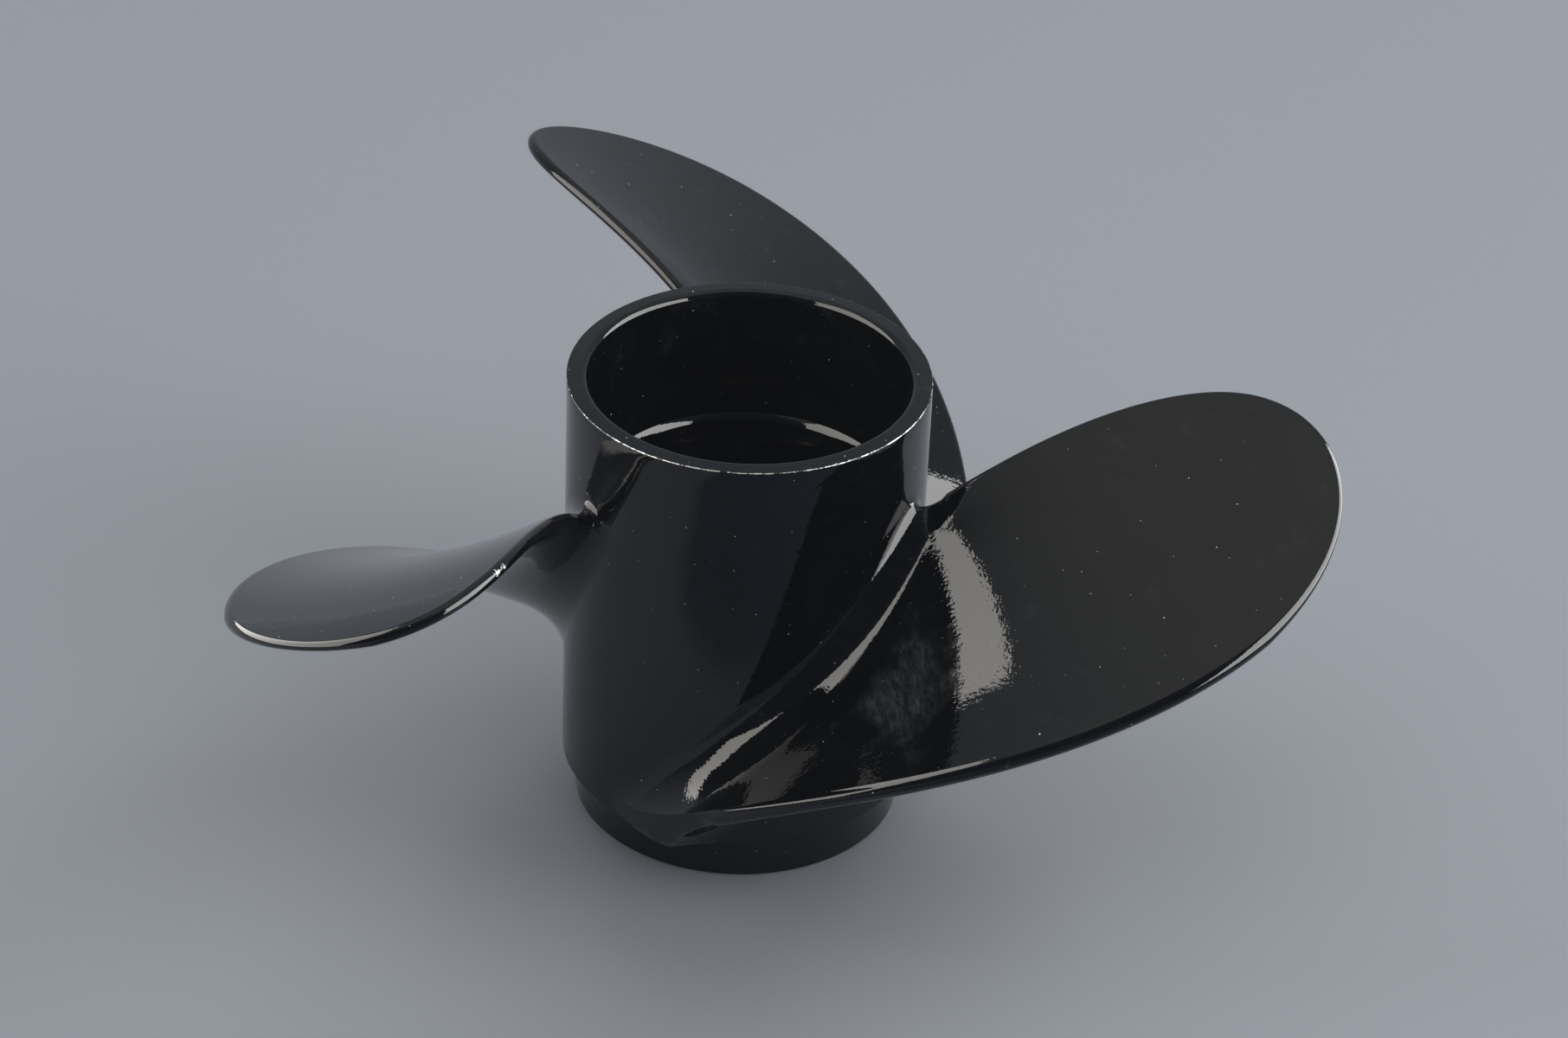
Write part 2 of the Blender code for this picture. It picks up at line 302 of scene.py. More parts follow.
def blade_places(border):
    """Rows and columns of (radius, arc length) places over the blade, and its fillets' stand-off."""
    tip = int(border[:, 0].argmax())
    crowded = -np.cos(math.pi * np.linspace(EDGE_CROWDING, 1 - EDGE_CROWDING, BLADE_COLUMNS + 1))
    shares = (crowded - crowded[0]) / (crowded[-1] - crowded[0])
    size = np.interp(shares, FILLET_SHARES, FILLET_SIZES)
    reach = np.interp(shares, FILLET_SHARES, FILLET_REACHES)
    angles = np.linspace(0, math.pi / 2, FILLET_ROWS + 1)[:, None]
    radii = HUB_RADIUS + reach * (1 - np.cos(angles))
    trailing = np.interp(radii, border[:tip, 0], border[:tip, 1])
    leading = np.interp(radii, border[:tip:-1, 0], border[:tip:-1, 1])
    root_rows = np.stack([radii, trailing + (leading - trailing) * shares], axis=-1)

    root = root_rows[-1]
    trailing_start = int(np.argmax(border[:, 0] > root[0, 0]))
    leading_end = len(border) - 1 - int(np.argmax(border[::-1, 0] > root[-1, 0]))
    beyond = np.nonzero(border[:, 0] > border[tip, 0] * TIP_START)[0]
    trailing_side = np.concatenate([root[:1], border[trailing_start:beyond[0] + 1]])
    leading_side = np.concatenate([root[-1:], border[beyond[-1]:leading_end + 1][::-1]])
    round_tip = border[beyond[0]:beyond[-1] + 1]
    v = 1 - (1 - np.linspace(0, 1, BLADE_ROWS + 1)[1:]) ** TIP_CROWDING
    u = shares[None, :, None]
    sides = (1 - u) * along(trailing_side, v)[:, None] + u * along(leading_side, v)[:, None]
    ends = (1 - v)[:, None, None] * root + v[:, None, None] * along(round_tip, shares)
    near = (1 - u) * root[0] + u * root[-1]
    far = (1 - u) * round_tip[0] + u * round_tip[-1]
    outer_rows = sides + ends - (1 - v)[:, None, None] * near - v[:, None, None] * far
    stand_off = np.zeros((FILLET_ROWS + 1 + BLADE_ROWS, BLADE_COLUMNS + 1))
    stand_off[:FILLET_ROWS + 1] = size * (1 - np.sin(angles))
    outward = np.concatenate([np.zeros(FILLET_ROWS + 1), np.linspace(0, 1, BLADE_ROWS + 1)[1:]])
    return np.concatenate([root_rows, outer_rows]), shares, stand_off, outward, angles


def held_at(points, radii):
    """Points moved straight in or out until they lie at the given radii."""
    scale = radii / np.hypot(points[..., 0], points[..., 1])
    return np.stack([points[..., 0] * scale, points[..., 1] * scale, points[..., 2]], axis=-1)


def blade_surface():
    """One blade's two faces and its round edge, and the loop where it meets the barrel."""
    places, shares, stand_off, outward, angles = blade_places(face_border())
    points, normals = face_points(places)
    edge = edge_thickness(shares[None], outward[:, None])
    middle = ROOT_THICKNESS * (1 - outward[:, None]) + edge * outward[:, None]
    thick = edge + (middle - edge) * (4 * shares * (1 - shares)) ** FULLNESS
    fade = np.clip(1 - (places[..., 0] - HUB_RADIUS) / ROOT_LIFT_REACH, 0, 1) ** 3
    inward = np.minimum(shares / ROOT_LIFT_SHARES[0], (1 - shares) / ROOT_LIFT_SHARES[1]).clip(0, 1)
    lift = ROOT_LIFT * fade * (1 - (1 - inward) ** 2)
    upper = points + normals * (stand_off + lift)[..., None]
    lower = points - normals * (thick + stand_off)[..., None]
    root = slice(0, FILLET_ROWS + 1)
    upper[root] = held_at(upper[root], places[root, :, 0])
    lower[root] = held_at(lower[root], places[root, :, 0])

    last = len(places) - 1
    rim = [(j, 0) for j in range(last)] + [(last, i) for i in range(BLADE_COLUMNS)]
    rim += [(j, BLADE_COLUMNS) for j in range(last, -1, -1)]
    j, i = np.array(rim).T
    above, below, radii = upper[j, i], lower[j, i], places[j, i, 0]
    centre = (above + below) / 2
    away = np.cross(above - below, np.gradient(centre, axis=0))
    away /= np.linalg.norm(away, axis=1)[:, None]
    at_root = j <= FILLET_ROWS
    end_fillet = np.where(i == 0, TRAILING_FILLET, LEADING_FILLET)
    end_fillet = end_fillet * (1 - np.sin(angles[np.minimum(j, FILLET_ROWS), 0]))
    reach = edge_thickness(shares[i], outward[j]) / 2
    reach[at_root] += end_fillet[at_root]
    nose = []
    for step in np.linspace(0, math.pi, NOSE_STEPS + 1):
        row = centre + (above - centre) * math.cos(step) + away * (reach * math.sin(step))[:, None]
        row[at_root] = held_at(row, radii)[at_root]
        nose.append(row)
    nose = np.array(nose)
    foot = np.concatenate([upper[0, ::-1], nose[1:-1, 0], lower[0], nose[-2:0:-1, -1]])
    return upper, lower, nose, foot


def wall_with_hole(radius, low, high, turn_low, turn_high, hole, rings):
    """A third of a tube's wall round a hole, whose loop is given as (turn, height) places."""
    count = len(hole)
    across = TURN_STEPS // BLADES
    upwards = count // 2 - across
    half = math.pi / BLADES
    heights = np.linspace(low, high, upwards + 1)[:-1]
    middle = turn_low + (turn_high - turn_low) * (heights - low) / (high - low)
    turns = np.linspace(-half, half, across + 1)[:-1]
    left = np.stack([middle - half, heights], axis=-1)
    top = np.stack([turn_high + turns, np.full(across, high)], axis=-1)
    right = np.stack([middle + half, heights], axis=-1)
    right = np.concatenate([[[turn_high + half, high]], right[:0:-1]])
    bottom = np.stack([turn_low - turns, np.full(across, low)], axis=-1)
    edge = np.concatenate([left, top, right, bottom])
    edge = np.roll(edge, (across - NOSE_STEPS) // 2, axis=0)
    share = (np.linspace(0, 1, rings + 1) ** WALL_CROWDING)[:, None, None]
    places = hole * (1 - share) + edge * share
    return sheet(on_cylinder(radius, places[..., 0], places[..., 1]), closed=True)


def rib_loop(radius, grown):
    """The rib's outline, a slot with round ends, laid on a cylinder as (turn, height) places."""
    half = RIB_HALF + grown
    low, high = RIB_Z[0] + RIB_HALF, RIB_Z[1] - RIB_HALF
    straight = np.linspace(low, high, RIB_STEPS + 1)[:-1]
    bend = np.linspace(0, math.pi, NOSE_STEPS + 1)[:-1]
    across = np.concatenate([np.full(RIB_STEPS, -half), -half * np.cos(bend)])
    heights = np.concatenate([straight, high + half * np.sin(bend)])
    across = np.concatenate([across, -across])
    heights = np.concatenate([heights, low + high - heights])
    return np.stack([RIB_TURN + np.arcsin(across / radius), heights], axis=-1)


def rib_surface():
    """A rib from its foot on the inner hub to its foot on the barrel's throat."""
    feet = []
    for angle in np.radians(np.linspace(0, 90, FOOT_STEPS + 1)):
        out = RIB_FILLET * (1 - math.cos(angle))
        feet.append((INNER_HUB_RADIUS + out, RIB_FILLET * (1 - math.sin(angle))))
    feet += [(THROAT_RADIUS + INNER_HUB_RADIUS - radius, grown) for radius, grown in reversed(feet)]
    rows = []
    for radius, grown in feet:
        loop = rib_loop(radius, grown)
        rows.append(on_cylinder(radius, loop[:, 0], loop[:, 1]))
    return sheet(np.array(rows), closed=True)


# The blades with the barrel's outside, cut level above the spigot with a small broken edge
upper, lower, nose, foot = blade_surface()
round_edge = sheet(nose)
edge_height = np.repeat(np.sin(np.linspace(0, math.pi, NOSE_STEPS + 1)), nose.shape[1])
mark = round_edge.data.attributes.new("blade_edge", "FLOAT", "POINT")
mark.data.foreach_set("value", edge_height)
foot_places = np.stack([np.unwrap(np.arctan2(foot[:, 1], foot[:, 0])), foot[:, 2]], axis=-1)
rim_start = HUB_LENGTH - RIM_FALL - RIM_EDGE
wall_bottom_turn = WALL_TOP_TURN - WALL_LEAN
outside = wall_with_hole(
    HUB_RADIUS, WALL_BOTTOM, rim_start, wall_bottom_turn, WALL_TOP_TURN, foot_places, WALL_RINGS
)
shell = []
for part in (sheet(upper), sheet(lower), round_edge, outside):
    shell += turned_copies(part)
casting = shell[0]
edit(shell)
bpy.ops.mesh.remove_doubles(threshold=MERGE)
bpy.ops.mesh.normals_make_consistent(inside=False)
bpy.ops.mesh.select_all(action="SELECT")
bpy.ops.mesh.bisect(
    plane_co=(0, 0, SPIGOT_LENGTH + SHOULDER_EDGE), plane_no=(0, 0, 1), clear_inner=True, use_fill=False
)
bpy.ops.mesh.select_all(action="DESELECT")
shape = bmesh.from_edit_mesh(casting.data)
for edge in shape.edges:
    if edge.is_boundary and max(v.co.z for v in edge.verts) < rim_start - MERGE:
        edge.select_set(True)
outwards = {}
for vertex in shape.verts:
    if vertex.select:
        outwards[vertex.co.xy.to_tuple(7)] = vertex.normal.xy.normalized()
bmesh.update_edit_mesh(casting.data)
bpy.ops.mesh.extrude_edges_move()
shape = bmesh.from_edit_mesh(casting.data)
for vertex in shape.verts:
    if vertex.select:
        vertex.co.xy -= outwards[vertex.co.xy.to_tuple(7)] * SHOULDER_EDGE
        vertex.co.z = SPIGOT_LENGTH
bmesh.update_edit_mesh(casting.data)
bpy.ops.object.mode_set(mode="OBJECT")

# The turned rim, bore and ledge, the inner hub on its ribs, and the spigot
aft_end = corner(HUB_RADIUS - RIM_EDGE, rim_start, RIM_EDGE, 0, 85, 4)
rounding = corner(BORE_RADIUS + RIM_ROUNDING, HUB_LENGTH - RIM_ROUNDING, RIM_ROUNDING, 90, 180, 10)
(r, z), (inner_r, inner_z) = aft_end[-1], rounding[0]
aft_end += [(r + (inner_r - r) * share, z + (inner_z - z) * share) for share in RIM_SUPPORTS]
aft_end += rounding
aft_end += [(BORE_RADIUS, LEDGE_HEIGHT + LEDGE_CONE)]
bevel = corner(0, 0, LEDGE_CROWN, *LEDGE_BEVEL, 8)
aft_end += [(THROAT_RADIUS + r - bevel[-1][0], LEDGE_HEIGHT + z - bevel[0][1]) for r, z in bevel]
spigot = corner(SPIGOT_RADIUS + SPIGOT_CORNER, SPIGOT_LENGTH - SPIGOT_CORNER, SPIGOT_CORNER, 90, 180, 3)
spigot += corner(SPIGOT_RADIUS - FRONT_EDGE, FRONT_EDGE, FRONT_EDGE, 0, -90, 4)
spigot += corner(THROAT_RADIUS + FRONT_EDGE, FRONT_EDGE, FRONT_EDGE, 270, 180, 4)
low, high = INNER_HUB_Z
bore_corner = INNER_HUB_BORE + INNER_HUB_BORE_EDGE
hub = corner(INNER_HUB_RADIUS - INNER_HUB_EDGE, high - INNER_HUB_EDGE, INNER_HUB_EDGE, 0, 90, 5)
hub += corner(bore_corner, high - INNER_HUB_BORE_EDGE, INNER_HUB_BORE_EDGE, 90, 180, 4)
hub += corner(bore_corner, low + INNER_HUB_BORE_EDGE, INNER_HUB_BORE_EDGE, 180, 270, 4)
hub += corner(INNER_HUB_RADIUS - INNER_HUB_EDGE, low + INNER_HUB_EDGE, INNER_HUB_EDGE, 270, 360, 5)
walls = []
for radius, bottom, top in (
    (THROAT_RADIUS, FRONT_EDGE, aft_end[-1][1]),
    (INNER_HUB_RADIUS, low + INNER_HUB_EDGE, high - INNER_HUB_EDGE),
):
    rib_foot = rib_loop(radius, RIB_FILLET)
    walls.append(wall_with_hole(radius, bottom, top, RIB_TURN, RIB_TURN, rib_foot, INSIDE_RINGS))
insides = [casting, turned(aft_end), turned(spigot), turned(hub)]
for part in (*walls, rib_surface()):
    insides += turned_copies(part)
edit(insides)
bpy.ops.mesh.remove_doubles(threshold=MERGE)
bpy.ops.mesh.select_all(action="DESELECT")
bpy.ops.mesh.select_mode(type="EDGE")
bpy.ops.mesh.select_non_manifold(use_non_contiguous=False, use_verts=False)
bpy.ops.mesh.fill(use_beauty=True)
bpy.ops.mesh.select_all(action="SELECT")
bpy.ops.mesh.normals_make_consistent(inside=False)
bpy.ops.object.mode_set(mode="OBJECT")
bpy.ops.object.shade_smooth_by_angle(angle=SHARP_ANGLE)
casting.name = "painted_casting"
casting.data.name = "painted_casting"

# Points at the tips that would pass the faceted solid's box by a hair are held at it
places = np.empty(len(casting.data.vertices) * 3)
casting.data.vertices.foreach_get("co", places)
places = np.clip(places.reshape(-1, 3), cad_low, cad_high)
casting.data.vertices.foreach_set("co", places.ravel())
casting.data.update()

# Sprayed gloss black with a fine orange peel, dust, smears, dents and chips down to the metal
PAINT = (0.0016, 0.0018, 0.0021, 1.0)
BARE_METAL = (0.60, 0.60, 0.58, 1.0)
DUST = (0.80, 0.79, 0.76, 1.0)
SMEAR = (0.070, 0.074, 0.080, 1.0)
PEEL_HEIGHT = 1.5e-5
PEEL_SCALE = 1100.0
RIPPLE_HEIGHT = 3e-5
RIPPLE_SCALE = 230.0
SWELL_HEIGHT = 5e-5
SWELL_SCALE = 45.0

# Chips on the rim's outer edge, most of them at the front, and at three places of the blades' edges
CHIP_DEPTH = 6e-5
RIM_WEAR_SCALE = 4000.0
RIM_WEAR_WIDTH = 0.00042
BLADE_WEAR_SCALE = 1700.0
RIM_CIRCLE = (HUB_RADIUS - 0.0001, HUB_LENGTH - RIM_FALL - 0.0001)
WORN_EDGES = (
    ((0.0631, -0.0851, 0.0721), 0.0045),
    ((-0.0689, -0.1061, 0.1209), 0.0030),
    ((-0.0549, -0.0896, 0.1218), 0.0050),
)

# Dull smears on the first blade near its root, and two small dents in the barrel beside it
SMEAR_PLACE = (0.0405, -0.0600, 0.0695)
SMEAR_SIZE = 0.023
DENT_DEPTH = 3e-5
DENTS = (
    ((0.0081, -0.0437, 0.0862), (0.0014, 0.0030, 0.0004)),
    ((0.0112, -0.0431, 0.0836), (0.0014, 0.0030, 0.0004)),
)


def node(tree, kind, inputs, **settings):
    """A shader node with its settings, and its inputs linked to sockets or set to values."""
    made = tree.nodes.new("ShaderNode" + kind)
    for name, value in settings.items():
        setattr(made, name, value)
    for name, value in inputs.items():
        if isinstance(value, bpy.types.NodeSocket):
            tree.links.new(value, made.inputs[name])
        else:
            made.inputs[name].default_value = value
    return made


def sums(tree, operation, *values, clamp=False):
    """The result of a Math node on one, two or three values."""
    return node(tree, "Math", dict(enumerate(values)), operation=operation, use_clamp=clamp).outputs[0]


def ramp(tree, value, low, high, start=0.0, end=1.0):
    """A smooth step from start to end as the value goes from low to high."""
    inputs = {"Value": value, "From Min": low, "From Max": high, "To Min": start, "To Max": end}
    return node(tree, "MapRange", inputs, interpolation_type="SMOOTHSTEP").outputs["Result"]


def noise(tree, place, scale, detail=2.0, roughness=0.5):
    inputs = {"Vector": place, "Scale": scale, "Detail": detail, "Roughness": roughness}
    return node(tree, "TexNoise", inputs).outputs["Fac"]


def blend(tree, share, first, second):
    inputs = {"Factor": share, "A": first, "B": second}
    return node(tree, "Mix", inputs, data_type="RGBA").outputs["Result"]


def group(name, inputs, output):
    """An empty node group with named value inputs, a Vector input and one output."""
    tree = bpy.data.node_groups.new(name, "ShaderNodeTree")
    tree.interface.new_socket("Vector", in_out="INPUT", socket_type="NodeSocketVector")
    for label in inputs:
        tree.interface.new_socket(label, in_out="INPUT", socket_type="NodeSocketFloat")
    tree.interface.new_socket(output, in_out="OUTPUT", socket_type="NodeSocketFloat")
    return tree, tree.nodes.new("NodeGroupInput").outputs, tree.nodes.new("NodeGroupOutput").inputs


def placed(tree, kind, inputs):
    """The output of a node group placed in a material."""
    made = node(tree, "Group", {}, node_tree=bpy.data.node_groups[kind])
    for name, value in inputs.items():
        if isinstance(value, bpy.types.NodeSocket):
            tree.links.new(value, made.inputs[name])
        else:
            made.inputs[name].default_value = value
    return made.outputs[0]


# Dust: a speck in a share of the cells, each of its own size and brightness
tree, given, result = group("dust", ("Scale", "Share", "Size"), "Mask")
cells = node(tree, "TexVoronoi", {"Vector": given["Vector"], "Scale": given["Scale"]})
chances = node(tree, "SeparateColor", {"Color": cells.outputs["Color"]})
chosen = sums(tree, "LESS_THAN", chances.outputs["Red"], given["Share"])
size = sums(tree, "MULTIPLY", given["Size"], sums(tree, "ADD", chances.outputs["Green"], 0.35))
speck = sums(tree, "DIVIDE", sums(tree, "SUBTRACT", size, cells.outputs["Distance"]), size, clamp=True)
speck = ramp(tree, speck, 0.0, 0.5)
bright = sums(tree, "MULTIPLY_ADD", sums(tree, "POWER", chances.outputs["Blue"], 1.6), 0.85, 0.15)
tree.links.new(sums(tree, "MULTIPLY", sums(tree, "MULTIPLY", speck, chosen), bright), result["Mask"])

# Wear: an edge worn through where a noise at two scales lets it
tree, given, result = group("wear", ("Edge", "Scale", "Amount"), "Mask")
coarse = noise(tree, given["Vector"], sums(tree, "MULTIPLY", given["Scale"], 0.15), 1.0)
fine = noise(tree, given["Vector"], given["Scale"], 3.0, 0.65)
broken = sums(tree, "ADD", sums(tree, "MULTIPLY", coarse, 0.6), sums(tree, "MULTIPLY", fine, 0.7))
left = sums(tree, "SUBTRACT", sums(tree, "MULTIPLY_ADD", given["Edge"], 0.55, given["Amount"]), broken)
worn = sums(tree, "MULTIPLY", ramp(tree, left, 0.0, 0.04), ramp(tree, given["Edge"], 0.02, 0.10))
tree.links.new(worn, result["Mask"])

paint = bpy.data.materials.new("black_paint")
paint.use_nodes = True
tree = paint.node_tree
shader = tree.nodes["Principled BSDF"]
place = node(tree, "TexCoord", {}).outputs["Object"]
parts = node(tree, "SeparateXYZ", {"Vector": place})
flat = node(tree, "CombineXYZ", {"X": parts.outputs["X"], "Y": parts.outputs["Y"], "Z": 0.0}).outputs[0]
radius = node(tree, "VectorMath", {0: flat}, operation="LENGTH").outputs["Value"]
from_rim = node(
    tree, "CombineXYZ",
    {
        "X": sums(tree, "SUBTRACT", radius, RIM_CIRCLE[0]),
        "Y": sums(tree, "SUBTRACT", parts.outputs["Z"], RIM_CIRCLE[1]),
        "Z": 0.0,
    },
).outputs[0]
from_rim = node(tree, "VectorMath", {0: from_rim}, operation="LENGTH").outputs["Value"]
rim_edge = ramp(tree, from_rim, 0.0, RIM_WEAR_WIDTH, 1.0, 0.0)
towards_front = sums(tree, "MULTIPLY", parts.outputs["Y"], -1)
towards_front = sums(tree, "MULTIPLY_ADD", parts.outputs["X"], 0.45, towards_front)
front = ramp(tree, towards_front, -0.03, 0.045)
amount = sums(tree, "MULTIPLY_ADD", front, 0.16, 0.01)
rim_wear = placed(
    tree, "wear", {"Vector": place, "Edge": rim_edge, "Scale": RIM_WEAR_SCALE, "Amount": amount},
)
blade_edge = node(tree, "Attribute", {}, attribute_name="blade_edge").outputs["Fac"]
near_wear = 0.0
for spot, size in WORN_EDGES:
    away = node(tree, "VectorMath", {0: place, 1: spot}, operation="DISTANCE").outputs["Value"]
    near_wear = sums(tree, "MAXIMUM", near_wear, ramp(tree, away, 0.3 * size, size, 1.0, 0.0))
amount = sums(tree, "MULTIPLY_ADD", near_wear, 0.30, -0.16)
blade_wear = placed(
    tree, "wear", {"Vector": place, "Edge": blade_edge, "Scale": BLADE_WEAR_SCALE, "Amount": amount},
)
chips = sums(tree, "MAXIMUM", rim_wear, blade_wear)
# Fine dust and a few larger specks
specks = sums(
    tree, "MAXIMUM",
    placed(tree, "dust", {"Vector": place, "Scale": 520.0, "Share": 0.28, "Size": 0.090}),
    placed(tree, "dust", {"Vector": place, "Scale": 170.0, "Share": 0.18, "Size": 0.036}),
)
stretched = node(
    tree, "Mapping", {"Vector": place, "Rotation": (0.3, 0.5, 0.7), "Scale": (1.0, 0.16, 1.0)},
).outputs[0]
near_smear = node(tree, "VectorMath", {0: place, 1: SMEAR_PLACE}, operation="DISTANCE").outputs["Value"]
near_smear = ramp(tree, near_smear, 0.0, SMEAR_SIZE, 1.0, 0.0)
streaks = noise(tree, stretched, 700.0, 5.0, 0.75)
patches = sums(tree, "MULTIPLY", noise(tree, place, 110.0, 3.0, 0.6), 1.1)
patches = sums(tree, "MULTIPLY_ADD", near_smear, 0.50, patches)
smears = sums(tree, "MULTIPLY", ramp(tree, streaks, 0.25, 0.95), ramp(tree, patches, 0.62, 1.10))
film = ramp(tree, noise(tree, place, 55.0, 3.0), 0.35, 0.75, 0.0, 1.0)

color = blend(tree, sums(tree, "MULTIPLY", film, 0.015), PAINT, SMEAR)
color = blend(tree, sums(tree, "MULTIPLY", smears, 0.75), color, SMEAR)
color = blend(tree, specks, color, DUST)
color = blend(tree, chips, color, BARE_METAL)
tree.links.new(color, shader.inputs["Base Color"])
tree.links.new(chips, shader.inputs["Metallic"])
rough = sums(tree, "MULTIPLY_ADD", film, 0.02, 0.02)
rough = sums(tree, "MULTIPLY_ADD", smears, 0.20, rough)
rough = sums(tree, "MAXIMUM", rough, sums(tree, "MULTIPLY", sums(tree, "MAXIMUM", specks, chips), 0.45))
tree.links.new(rough, shader.inputs["Roughness"])

height = sums(tree, "MULTIPLY", noise(tree, place, PEEL_SCALE, 1.0, 0.5), PEEL_HEIGHT)
height = sums(tree, "MULTIPLY_ADD", noise(tree, place, RIPPLE_SCALE, 1.0), RIPPLE_HEIGHT, height)
height = sums(tree, "MULTIPLY_ADD", noise(tree, place, SWELL_SCALE, 0.0), SWELL_HEIGHT, height)
height = sums(tree, "MULTIPLY_ADD", chips, -CHIP_DEPTH, height)
for spot, size in DENTS:
    inputs = {"Vector": place, "Location": spot, "Scale": size}
    about = node(tree, "Mapping", inputs, vector_type="TEXTURE").outputs[0]
    away = node(tree, "VectorMath", {0: about}, operation="LENGTH").outputs["Value"]
    height = sums(tree, "MULTIPLY_ADD", ramp(tree, away, 0.0, 1.0, 1.0, 0.0), -DENT_DEPTH, height)
bump = node(tree, "Bump", {"Height": height, "Distance": 1.0, "Strength": 1.0})
tree.links.new(bump.outputs[0], shader.inputs["Normal"])
casting.data.materials.append(paint)
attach(casting, "root")
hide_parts("propeller_casting")


# Rubber bush
# A thick ring of black rubber, pressed into the inner hub and bonded to the sleeve, which lets the
# propeller slip when a blade hits something. Moulded, with rounded lips and a dull, dusty skin.

BUSH_RADIUS = 0.0197
BUSH_BORE = 0.0133
BUSH_Z = (0.0130, 0.0690)
BUSH_LIP = 0.0011
BUSH_DISH = 0.0006
RUBBER_DARK = (0.010, 0.010, 0.011, 1.0)
RUBBER_PALE = (0.024, 0.024, 0.024, 1.0)
RUBBER_BLOOM = (0.060, 0.058, 0.054, 1.0)
DULL_DUST = (0.22, 0.21, 0.19, 1.0)
SKIN_HEIGHT = 2e-5

low, high = BUSH_Z
middle = (BUSH_RADIUS + BUSH_BORE) / 2
bush = corner(BUSH_RADIUS - BUSH_LIP, high - BUSH_LIP, BUSH_LIP, 0, 90, 6)
bush += [(middle, high - BUSH_DISH)]
bush += corner(BUSH_BORE + BUSH_LIP, high - BUSH_LIP, BUSH_LIP, 90, 180, 6)
bush += corner(BUSH_BORE + BUSH_LIP, low + BUSH_LIP, BUSH_LIP, 180, 270, 6)
bush += [(middle, low + BUSH_DISH)]
bush += corner(BUSH_RADIUS - BUSH_LIP, low + BUSH_LIP, BUSH_LIP, 270, 360, 6)
bush = turned(bush + bush[:1])
edit([bush])
bpy.ops.mesh.normals_make_consistent(inside=False)
bpy.ops.object.mode_set(mode="OBJECT")
bpy.ops.object.shade_smooth_by_angle(angle=SHARP_ANGLE)
bush.name = bush.data.name = "moulded_bush"

rubber = bpy.data.materials.new("bush_rubber")
rubber.use_nodes = True
tree = rubber.node_tree
shader = tree.nodes["Principled BSDF"]
place = node(tree, "TexCoord", {}).outputs["Object"]
mottle = noise(tree, place, 300.0, 4.0, 0.6)
bloom = ramp(tree, noise(tree, place, 90.0, 3.0), 0.45, 0.75)
specks = placed(tree, "dust", {"Vector": place, "Scale": 600.0, "Share": 0.5, "Size": 0.12})
color = blend(tree, mottle, RUBBER_DARK, RUBBER_PALE)
color = blend(tree, sums(tree, "MULTIPLY", bloom, 0.35), color, RUBBER_BLOOM)
color = blend(tree, specks, color, DULL_DUST)
tree.links.new(color, shader.inputs["Base Color"])
tree.links.new(sums(tree, "MULTIPLY_ADD", mottle, 0.25, 0.60), shader.inputs["Roughness"])
shader.inputs["Specular IOR Level"].default_value = 0.35
skin = sums(tree, "MULTIPLY", mottle, SKIN_HEIGHT)
bump = node(tree, "Bump", {"Height": skin, "Distance": 1.0, "Strength": 1.0})
tree.links.new(bump.outputs[0], shader.inputs["Normal"])
bush.data.materials.append(rubber)
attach(bush, "root")
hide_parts("rubber_bush")


# Splined sleeve
# A turned tube of brass in the bush, with chamfered ends and a broached bore of thirteen splines that
# slides on the shaft. Browned by grease and exhaust, with a brighter metal on its worn edges.

SLEEVE_RADIUS = 0.0130
SLEEVE_Z = (0.0070, 0.0790)
SLEEVE_CHAMFER = 0.0005
SPLINES = 13
SPLINE_RADII = (0.0084, 0.0096)
SPLINE_FLANK = 0.16
STEPS_PER_SPLINE = 16
LEAD_RADIUS = 0.0101
LEAD = 0.0009
SLEEVE_SHARP_ANGLE = math.radians(20)
BRASS_DARK = (0.10, 0.066, 0.030, 1.0)
BRASS_BROWN = (0.16, 0.108, 0.050, 1.0)
BRASS_WORN = (0.55, 0.42, 0.21, 1.0)
GREASE = (0.030, 0.024, 0.016, 1.0)
GREASE_HEIGHT = 2e-5
TURNING_MARKS = 4e-6

low, high = SLEEVE_Z
bpy.ops.object.select_all(action="DESELECT")
bpy.ops.mesh.primitive_circle_add(
    vertices=SPLINES * STEPS_PER_SPLINE, radius=SLEEVE_RADIUS - SLEEVE_CHAMFER, location=(0, 0, low)
)
sleeve = bpy.context.object
bpy.ops.object.transform_apply()


def drawn(radius, height):
    """Extrudes the selected loop and brings the new one to a radius and a height."""
    bpy.ops.mesh.extrude_edges_move()
    shape = bmesh.from_edit_mesh(sleeve.data)
    for vertex in shape.verts:
        if vertex.select:
            turn = math.atan2(vertex.co.y, vertex.co.x)
            reach = radius(turn) if callable(radius) else radius
            vertex.co = (reach * math.cos(turn), reach * math.sin(turn), height)
    bmesh.update_edit_mesh(sleeve.data)


def splined(turn):
    """The bore's radius: a tooth and a groove with sloping flanks in each spline's width."""
    across = (turn * SPLINES / math.tau) % 1
    half = SPLINE_FLANK / 2
    groove = np.interp(across, (0.25 - half, 0.25 + half, 0.75 - half, 0.75 + half), (0, 1, 1, 0))
    return SPLINE_RADII[0] + (SPLINE_RADII[1] - SPLINE_RADII[0]) * groove


